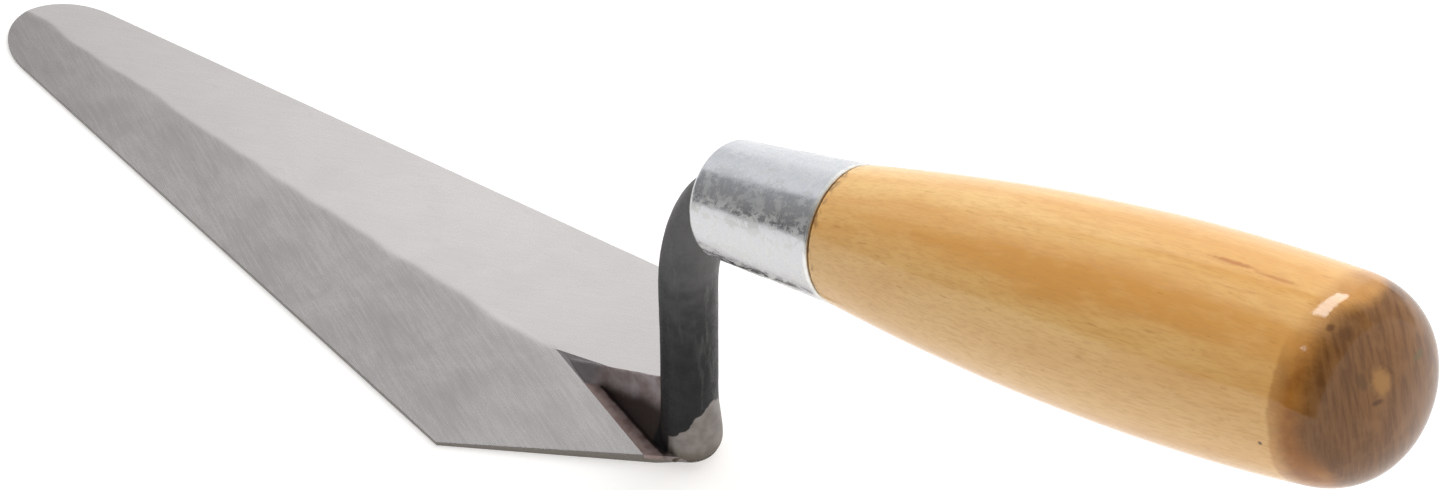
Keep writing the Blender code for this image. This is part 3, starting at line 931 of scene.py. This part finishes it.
def end_grain_share(s, fibres):
    """Where the surface faces the butt, but less of it at the upper right and below."""
    x, y, _ = s.parts()
    lean = s.plus(s.lean(), s.swing(fibres, 0.12))
    upper_right = s.times(s.ramp(x, 11 * MM, 14 * MM), s.ramp(y, 5 * MM, -2 * MM, 0.0, 0.22))
    below = s.ramp(x, 1 * MM, -6 * MM, 0.0, 0.2)
    return s.ramp(s.minus(s.minus(lean, upper_right), below), 0.12, 0.42)


def end_grain_tone(s, blotch):
    """Dark striped wood that has drunk the varnish."""
    across = s.move(scale=(0.12, 1, 0.12), vector=s.move(turn=(radians(47), 0, 0)))
    stripes = s.noise(0.8 * MM, 4.0, 0.65, vector=across)
    return s.coats(
        s.mix(s.ramp(stripes, 0.35, 0.65), (0.125, 0.050, 0.012), (0.19, 0.084, 0.025)),
        (s.ramp(blotch, 0.45, 0.7, 0.0, 0.5), (0.235, 0.112, 0.040)),
    )


def varnished_wood():
    """Turned wood under gloss varnish, amber on its shoulder and dark on the butt's end grain."""
    s = Shade("varnished_wood")
    s.place = s.on_axis()
    grain = s.noise(0.7 * MM, 4.0, 0.6, vector=s.move(scale=(1, 1, 0.05)))
    fibres = s.noise(0.35 * MM, 3.0, 0.7, vector=s.move(scale=(1, 1, 0.15)))
    sheen = s.noise(2.2 * MM, 3.0, 0.5, vector=s.move(scale=(1, 1, 0.4)))
    blotch = s.noise(4 * MM, 3.0, 0.6)
    amber = s.mix(s.ramp(blotch, 0.35, 0.65), (0.27, 0.098, 0.014), (0.40, 0.165, 0.030))
    tone = s.coats(
        side_tone(s, grain, fibres, sheen),
        (shoulder_share(s, sheen), amber),
        (end_grain_share(s, fibres), end_grain_tone(s, blotch)),
    )
    for mark in WOOD_MARKS:
        tone = wood_mark(s, tone, *mark)
    varnish_waves = s.bump(s.noise(2.5 * MM, 3.0, 0.6), 0.07 * MM, 0.5)
    s.surface(Base_Color=tone, Roughness=0.5, Specular_IOR_Level=0.05)
    s.surface(Coat_Weight=0.72, Coat_Roughness=0.09, Coat_IOR=1.5, Coat_Normal=varnish_waves)
    s.surface(Normal=s.bump(grain, 0.03 * MM, 0.5))
    return s.material


def pale_floor():
    """Matt and nearly white, with a little light of its own to keep the shadows soft."""
    s = Shade("pale_floor")
    grain = s.noise(40 * MM, 3.0, 0.5)
    s.surface(Base_Color=s.mix(grain, (0.93, 0.93, 0.93), (0.95, 0.95, 0.95)), Roughness=0.8)
    s.surface(Emission_Color=(1.0, 0.99, 0.98), Emission_Strength=0.28)
    return s.material


# ------------------------------------------------------------------ studio

# Light round the long axis of the trowel: degrees from straight up towards the right side, and how bright.
# The first list is what the blade mirrors. The second lies close to the axis in front of the tip, where
# the ferrule and the handle mirror it.
AROUND_BLADE = (
    (-90, 0.10),
    (-60, 0.22),
    (-15, 0.26),
    (-11, 0.95),
    (18, 0.92),
    (24, 0.38),
    (33, 0.33),
    (35.5, 1.35),
    (90, 1.15),
)
AROUND_HANDLE = (
    (-90, 0.40),
    (-60, 0.36),
    (-15, 0.44),
    (-10, 1.0),
    (30, 1.0),
    (72, 0.80),
    (90, 0.76),
)

CAMERA_PLACE = (-0.2110, 0.2329, 0.3356)
CAMERA_HEADING = radians(-48.18)  # from +X towards +Y
CAMERA_PITCH = radians(43.92)  # looking down
CAMERA_ROLL = radians(0.51)
SENSOR_WIDTH = 36.0
LENS = 61.56
CAMERA_SHIFT = (0.0140, 0.0492)
FLOOR_RADIUS = 3.0
FLOOR_DROP = 0.05 * MM  # below the blade's underside


def build_camera():
    """The photograph's viewing angle."""
    heading, pitch, roll = CAMERA_HEADING, CAMERA_PITCH, CAMERA_ROLL
    forward = Vector((cos(heading) * cos(pitch), sin(heading) * cos(pitch), -sin(pitch)))
    level = forward.cross(Vector((0.0, 0.0, 1.0))).normalized()
    down = forward.cross(level)
    right = level * cos(roll) + down * sin(roll)
    below = down * cos(roll) - level * sin(roll)
    data = bpy.data.cameras.new("camera")
    data.sensor_width = SENSOR_WIDTH
    data.lens = LENS
    data.shift_x, data.shift_y = CAMERA_SHIFT
    data.clip_start = 0.01
    camera = bpy.data.objects.new("camera", data)
    bpy.context.scene.collection.objects.link(camera)
    turn = Matrix((right, -below, -forward)).transposed()
    camera.matrix_world = Matrix.Translation(CAMERA_PLACE) @ turn.to_4x4()
    bpy.context.scene.camera = camera


def build_softbox(name, place, size, power, lit):
    """A lamp that shines straight down on some of the pieces only."""
    data = bpy.data.lights.new(name, "AREA")
    data.shape = "RECTANGLE"
    data.size, data.size_y = size
    data.energy = power
    light = bpy.data.objects.new(name, data)
    light.location = place
    bpy.context.scene.collection.objects.link(light)
    light.light_linking.receiver_collection = bpy.data.collections.new(name)
    for piece in lit:
        light.light_linking.receiver_collection.objects.link(piece)


def light_round(s, around, levels):
    """A grey that follows the listed levels round the trowel's long axis."""
    share = s.node("ShaderNodeMapRange", Value=around)
    share.inputs["From Min"].default_value = -pi / 2
    share.inputs["From Max"].default_value = pi / 2
    ramp = s.node("ShaderNodeValToRGB", Fac=share.outputs["Result"])
    while len(ramp.color_ramp.elements) < len(levels):
        ramp.color_ramp.elements.new(0.5)
    for element, (angle, level) in zip(ramp.color_ramp.elements, levels):
        element.position = (angle + 90) / 180
        element.color = (level * 1.01, level, level * 0.985, 1.0)
    return ramp.outputs["Color"]


def build_surroundings():
    """A bright wall on the far side, a grey ceiling, a dim near side, and a bright wall behind the butt."""
    world = bpy.data.worlds.new("studio")
    bpy.context.scene.world = world
    world.use_nodes = True
    s = Shade(tree=world.node_tree)
    x, y, z = s.parts(s.node("ShaderNodeTexCoord").outputs["Generated"])
    paths = s.node("ShaderNodeLightPath").outputs
    around = s.math("ARCTAN2", s.times(y, -1.0), z)
    lights = [light_round(s, around, levels) for levels in (AROUND_BLADE, AROUND_HANDLE)]
    light = s.mix(s.ramp(x, 0.74, 0.84), *lights)
    # Overhead and behind it is brighter for matt surfaces, and dimmer in what the varnish mirrors
    mirrored = paths["Is Glossy Ray"]
    overhead = s.times(s.ramp(x, 0.42, 0.30, 0.0, 0.6), s.minus(1.0, mirrored))
    dimmed = s.times(s.ramp(x, 0.30, 0.22, 0.0, 0.55), mirrored)
    light = s.coats(
        s.mix(overhead, light, light, "ADD"),
        (dimmed, (0.0, 0.0, 0.0)),
        (s.ramp(x, -0.34, -0.42), (1.1, 1.08, 1.06)),
        (paths["Is Camera Ray"], (0.93, 0.93, 0.93)),
    )
    s.set(s.tree.nodes["Background"].inputs["Color"], light)


def build_floor():
    """A wide pale disc under the blade."""
    work = bmesh.new()
    bmesh.ops.create_circle(work, cap_ends=True, segments=96, radius=FLOOR_RADIUS)
    mesh = bpy.data.meshes.new("floor")
    work.to_mesh(mesh)
    work.free()
    floor = bpy.data.objects.new("floor", mesh)
    floor.location.z = -FLOOR_DROP
    bpy.context.scene.collection.objects.link(floor)
    floor.data.materials.append(pale_floor())


# ------------------------------------------------------------------ assembly

build_camera()
build_surroundings()
build_floor()

steel, scale, tint, zinc, wood = ground_steel(), black_scale(), weld_tint(), zinc_plate(), varnished_wood()
for piece, node, slot, material in (
    (build_blade(), "blade", "ground_steel", steel),
    (build_shank(), "shank", "black_scale", scale),
    (build_weld("weld_bead_left", 1), "weld_left", "weld", tint),
    (build_weld("weld_bead_right", -1), "weld_right", "weld", tint),
    (build_ferrule(), "ferrule", "zinc_plate", zinc),
    (build_handle(), "handle", "varnished_wood", wood),
):
    piece.data.materials.clear()
    piece.data.materials.append(material)
    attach(piece, "root")
    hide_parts(node)

handle = bpy.data.objects["handle_wood"]
build_softbox("long_softbox", (1.02, -1.30, 2.4), (0.6, 1.9), 42.0, [handle])
build_softbox("small_softbox", (0.9, 1.4, 2.4), (0.2, 0.2), 1.2, [handle])

bpy.context.scene.view_settings.view_transform = "Standard"
